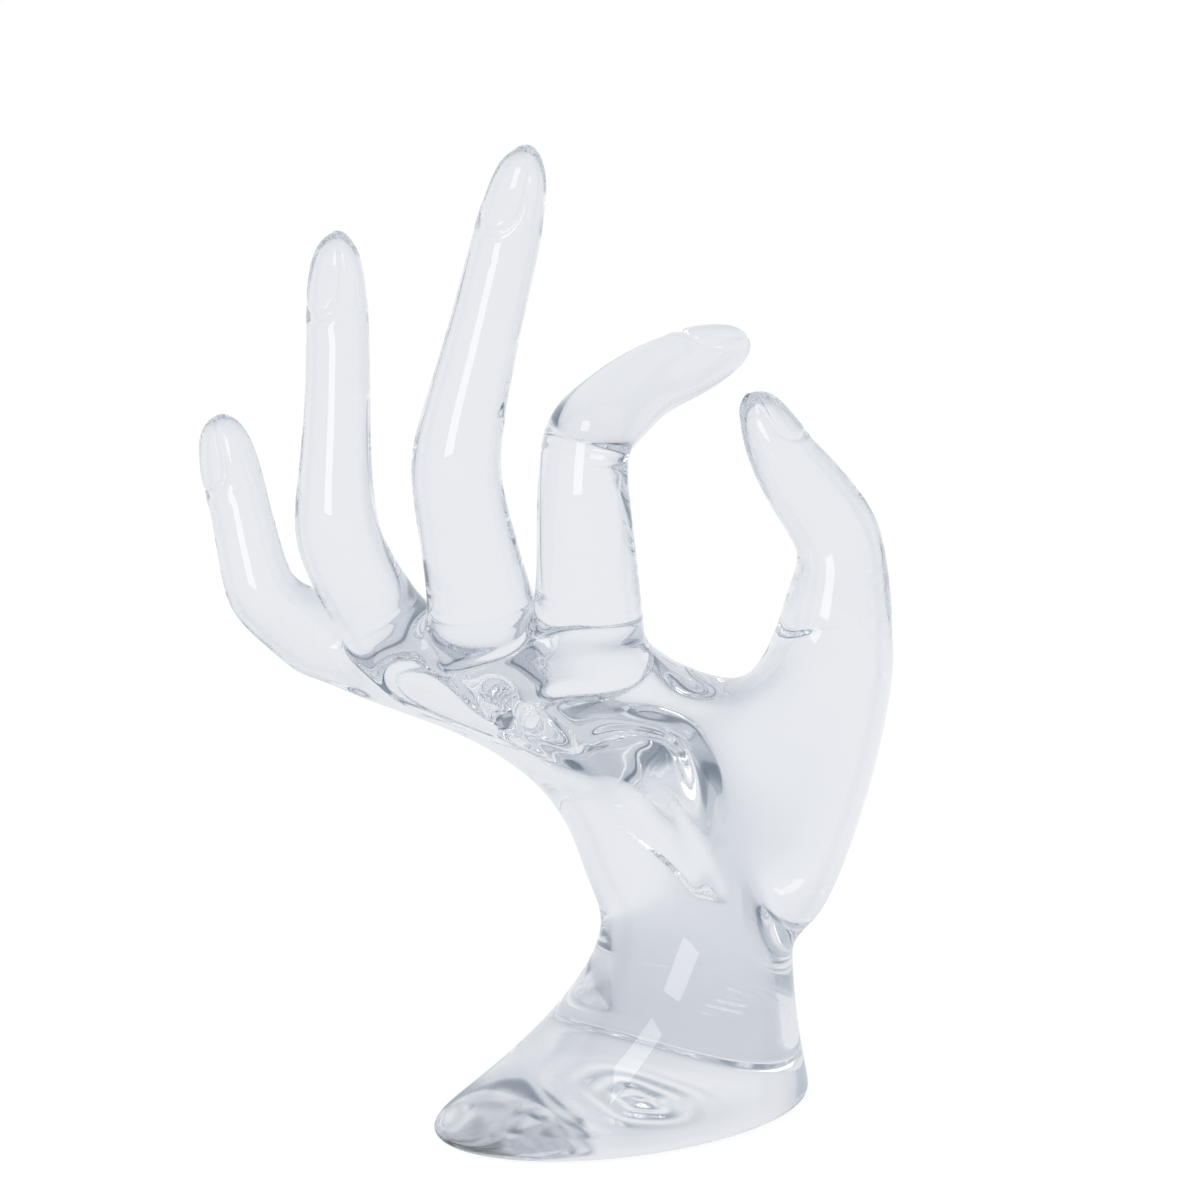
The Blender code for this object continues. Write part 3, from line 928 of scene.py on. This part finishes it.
def chosen(tree, factor, one, other):
    """One shader where the factor is 0 and the other where it is 1."""
    node = tree.nodes.new("ShaderNodeMixShader")
    tree.links.new(factor, node.inputs[0])
    tree.links.new(one, node.inputs[1])
    tree.links.new(other, node.inputs[2])
    return node.outputs[0]


def plain_shader(tree, kind, color, strength=None):
    """A shader node of one colour. The colour is a value or another node's output."""
    node = tree.nodes.new(kind)
    if isinstance(color, tuple):
        node.inputs["Color"].default_value = color
    else:
        tree.links.new(color, node.inputs["Color"])
    if strength is not None:
        node.inputs["Strength"].default_value = strength
    return node.outputs[0]


def through_resin(tree, rays):
    """1 for rays that a clear thing mirrors or lets through."""
    return number(tree, "MAXIMUM", rays.outputs["Is Glossy Ray"], rays.outputs["Is Transmission Ray"])


def studio_world():
    """White to the eye. The resin sees a bright band ahead and behind, dark sides and a darker ceiling."""
    world = bpy.data.worlds.new("studio")
    bpy.context.scene.world = world
    world.use_nodes = True
    tree = world.node_tree
    tree.nodes.clear()
    way = tree.nodes.new("ShaderNodeTexCoord")
    sides, rise = side_color(tree, way.outputs["Generated"])
    heights = [((height + 1) / 2, color) for height, color in SKY]
    sky = color_ramp(tree, number(tree, "MULTIPLY_ADD", rise, 0.5, 0.5), heights)
    rays = tree.nodes.new("ShaderNodeLightPath")
    soft = plain_shader(tree, "ShaderNodeBackground", WHITE, SOFT_LIGHT)
    seen = plain_shader(tree, "ShaderNodeBackground", multiplied(tree, sky, sides), 1)
    eye = plain_shader(tree, "ShaderNodeBackground", WHITE, 1)
    lit = chosen(tree, through_resin(tree, rays), soft, seen)
    out = tree.nodes.new("ShaderNodeOutputWorld")
    tree.links.new(chosen(tree, rays.outputs["Is Camera Ray"], lit, eye), out.inputs["Surface"])


def floor_paint():
    """White to the eye; as the resin sees it, darker near the stand by a painted shadow; plain for soft
    light.
    """
    material = bpy.data.materials.new("floor_white")
    material.use_nodes = True
    tree = material.node_tree
    nodes, links = tree.nodes, tree.links
    nodes.clear()
    rays = nodes.new("ShaderNodeLightPath")
    to_eye = rays.outputs["Is Camera Ray"]
    place = nodes.new("ShaderNodeNewGeometry").outputs["Position"]
    sides, _ = side_color(tree, place)
    away = nodes.new("ShaderNodeVectorMath")
    away.operation = "LENGTH"
    links.new(place, away.inputs[0])
    # Painted shadow: the floor that the resin sees is darker near the stand.
    near = color_ramp(tree, away.outputs["Value"], PAINTED_STAND_SHADOW)
    refracted = plain_shader(tree, "ShaderNodeEmission", multiplied(tree, near, sides), FLOOR_GLOW)
    direct = plain_shader(tree, "ShaderNodeEmission", WHITE, FLOOR_GLOW)
    both = nodes.new("ShaderNodeAddShader")
    links.new(plain_shader(tree, "ShaderNodeBsdfDiffuse", FLOOR_SEEN), both.inputs[0])
    links.new(chosen(tree, to_eye, refracted, direct), both.inputs[1])
    plain = plain_shader(tree, "ShaderNodeBsdfDiffuse", FLOOR_PLAIN)
    straight = number(tree, "MAXIMUM", to_eye, through_resin(tree, rays))
    out = nodes.new("ShaderNodeOutputMaterial")
    links.new(chosen(tree, straight, plain, both.outputs[0]), out.inputs["Surface"])
    return material


def floor():
    """A wide pale floor that looks white and still takes the stand's soft shadow."""
    bpy.ops.mesh.primitive_plane_add(size=FLOOR_SIZE, location=(0, 0, -FLOOR_GAP))
    plane = bpy.context.object
    plane.name = "floor"
    plane.data.materials.append(floor_paint())


def soft_box(box):
    """One rectangular studio light that looks at a point."""
    light = bpy.data.lights.new(box.name, "AREA")
    light.shape = "RECTANGLE"
    light.size = box.width
    light.size_y = box.height
    light.energy = box.watts
    holder = bpy.data.objects.new(box.name, light)
    holder.location = box.place
    holder.rotation_euler = (Vector(box.aim) - Vector(box.place)).to_track_quat("-Z", "Y").to_euler()
    bpy.context.scene.collection.objects.link(holder)
    return holder


def camera():
    """The photograph's view."""
    eye = bpy.data.cameras.new("camera")
    eye.lens = CAMERA_FOCAL
    eye.sensor_width = CAMERA_SENSOR
    eye.clip_start = CAMERA_NEAR
    holder = bpy.data.objects.new("camera", eye)
    up = math.radians(CAMERA_ELEVATION)
    away = Vector((0, -math.cos(up), math.sin(up))) * CAMERA_DISTANCE
    holder.location = CAMERA_TARGET + away
    holder.rotation_euler = (math.radians(90 - CAMERA_ELEVATION), 0, 0)
    bpy.context.scene.collection.objects.link(holder)
    bpy.context.scene.camera = holder


def main():
    """The piece, the studio round it and the camera."""
    scene = bpy.context.scene
    scene.view_settings.view_transform = "Standard"
    scene.cycles.max_bounces = LIGHT_BOUNCES
    scene.cycles.glossy_bounces = LIGHT_BOUNCES
    scene.cycles.transmission_bounces = LIGHT_BOUNCES
    hand = smooth_hand(digit_runs())
    hand.data.materials.append(resin())
    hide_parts("hand_stand")
    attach(hand, "root")
    studio_world()
    floor()
    # Refracted rays don't see the taller light, which would whiten the fingers' far contours.
    soft_box(TALL_STRIP).visible_transmission = False
    soft_box(WINDOW)
    camera()


main()
